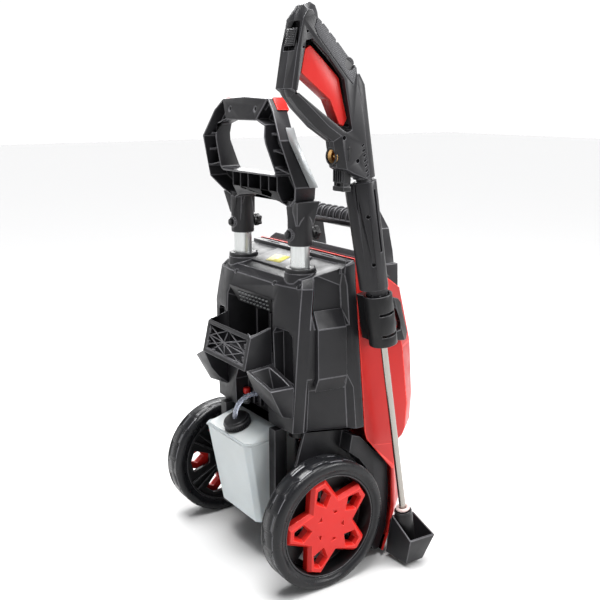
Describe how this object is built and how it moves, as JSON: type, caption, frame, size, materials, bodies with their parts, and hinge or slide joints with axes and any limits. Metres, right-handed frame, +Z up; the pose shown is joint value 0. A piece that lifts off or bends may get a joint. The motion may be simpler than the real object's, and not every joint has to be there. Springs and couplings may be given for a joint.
{
  "type": "electric pressure washer",
  "caption": "Upright electric pressure washer on two wheels, with a telescopic push handle, a detergent tank, storage on its back and a spray lance parked on its side.",
  "frame": {"origin": "centre of the bottom of the whole object's bounding box, on the floor it stands on", "axes": "+Z up, +Y to the back of the machine, towards the user behind the push handle, -X to the side that carries the lance"},
  "size_m": [0.412, 0.365, 0.891],
  "materials": {
    "charcoal_plastic": "fine moulded grain",
    "black_plastic": "satin, moulded",
    "red_plastic": "satin gloss",
    "silver_plastic": "silver painted satin",
    "soft_rubber": "matt, hatched",
    "tyre_rubber": "matt with a moulded tread",
    "tube_aluminium": "satin anodised",
    "pump_aluminium": "as cast",
    "motor_steel": "dull grey",
    "bright_steel": "drawn, bright",
    "black_steel": "black zinc",
    "brass": "turned",
    "tank_plastic": "translucent white, smooth",
    "clear_plastic": "clear, flexible",
    "pale_plastic": "pale translucent"
  },
  "bodies": {
    "machine": {"chassis": "charcoal_plastic", "rear_housing": "charcoal_plastic", "top_cover": "charcoal_plastic", "wheel_arch_right": "charcoal_plastic", "wheel_arch_left": "charcoal_plastic", "basket": "charcoal_plastic", "pocket_right": "charcoal_plastic", "pocket_left": "charcoal_plastic", "carry_handle": "charcoal_plastic", "lance_holster": "charcoal_plastic", "front_panel": "black_plastic", "inlet_connector": "black_plastic", "cord_gland": "black_plastic", "switch_box": "black_plastic", "tube_socket_right": "black_plastic", "tube_socket_left": "black_plastic", "collar_right": "black_plastic", "collar_left": "black_plastic", "lance_clip": "black_plastic", "front_housing": "red_plastic", "foot_right": "soft_rubber", "foot_left": "soft_rubber", "pump_head": "pump_aluminium", "motor": "motor_steel", "axle_right": "bright_steel", "axle_left": "bright_steel", "outlet_connector": "brass", "tank": "tank_plastic", "suction_tube": "clear_plastic"},
    "handle": {"handle_loop": "charcoal_plastic", "grip_cover": "charcoal_plastic", "corner_inset_right": "red_plastic", "corner_inset_left": "red_plastic", "side_trim_right": "silver_plastic", "side_trim_left": "silver_plastic", "handle_tube_right": "tube_aluminium", "handle_tube_left": "tube_aluminium", "clamp_bolt_right": "black_steel", "clamp_bolt_left": "black_steel"},
    "knob_right": {"star_knob_right": "black_plastic"},
    "knob_left": {"star_knob_left": "black_plastic"},
    "wheel_right": {"tyre_right": "tyre_rubber", "rim_right": "black_plastic", "hub_cap_right": "red_plastic"},
    "wheel_left": {"tyre_left": "tyre_rubber", "rim_left": "black_plastic", "hub_cap_left": "red_plastic"},
    "tank_cap": {"tank_cap": "black_plastic"},
    "switch": {"switch_knob": "red_plastic"},
    "lance": {"gun_half_outer": "charcoal_plastic", "gun_half_inner": "charcoal_plastic", "grip_overlay": "soft_rubber", "hose_inlet": "brass", "bayonet_fork": "black_plastic", "lance_extension": "charcoal_plastic", "lance_pipe": "bright_steel"},
    "trigger": {"trigger": "red_plastic"},
    "trigger_lock": {"trigger_lock": "black_plastic"},
    "nozzle": {"nozzle": "black_plastic", "nozzle_ring": "pale_plastic"}
  },
  "joints": [
    {"name": "handle_slide", "type": "slide", "parent": "machine", "child": "handle", "axis": [0, 0, 1], "range_m": [0, 0.22]},
    {"name": "knob_right_turn", "type": "hinge", "parent": "handle", "child": "knob_right", "pos_m": [0.107, 0.0375, 0.562], "axis": [0, 1, 0], "continuous": true},
    {"name": "knob_left_turn", "type": "hinge", "parent": "handle", "child": "knob_left", "pos_m": [-0.067, 0.0375, 0.562], "axis": [0, 1, 0], "continuous": true},
    {"name": "wheel_right_spin", "type": "hinge", "parent": "machine", "child": "wheel_right", "pos_m": [0.18, 0.0755, 0.107], "axis": [1, 0, 0], "continuous": true},
    {"name": "wheel_left_spin", "type": "hinge", "parent": "machine", "child": "wheel_left", "pos_m": [-0.14, 0.0755, 0.107], "axis": [1, 0, 0], "continuous": true},
    {"name": "tank_cap_turn", "type": "hinge", "parent": "machine", "child": "tank_cap", "pos_m": [0.02, 0.1345, 0.233], "axis": [0, 0.3584, 0.9336], "range_deg": [0, 270]},
    {"name": "switch_turn", "type": "hinge", "parent": "machine", "child": "switch", "pos_m": [0.02, -0.1745, 0.324], "axis": [0, 1, 0], "range_deg": [0, 90]},
    {"name": "lance_lift", "type": "slide", "parent": "machine", "child": "lance", "axis": [0, 0.1702, 0.9854], "range_m": [0, 0.5]},
    {"name": "trigger_squeeze", "type": "hinge", "parent": "lance", "child": "trigger", "pos_m": [-0.17, 0.0715, 0.737], "axis": [1, 0, 0], "range_deg": [0, 7], "stiffness_Nm_per_rad": 1},
    {"name": "trigger_lock_slide", "type": "slide", "parent": "lance", "child": "trigger_lock", "axis": [0, -0.2186, 0.9758], "range_m": [0, 0.006]},
    {"name": "nozzle_twist", "type": "hinge", "parent": "lance", "child": "nozzle", "pos_m": [-0.17, -0.07769, 0.05827], "axis": [0, 0.1702, 0.9854], "range_deg": [0, 180]}
  ]
}
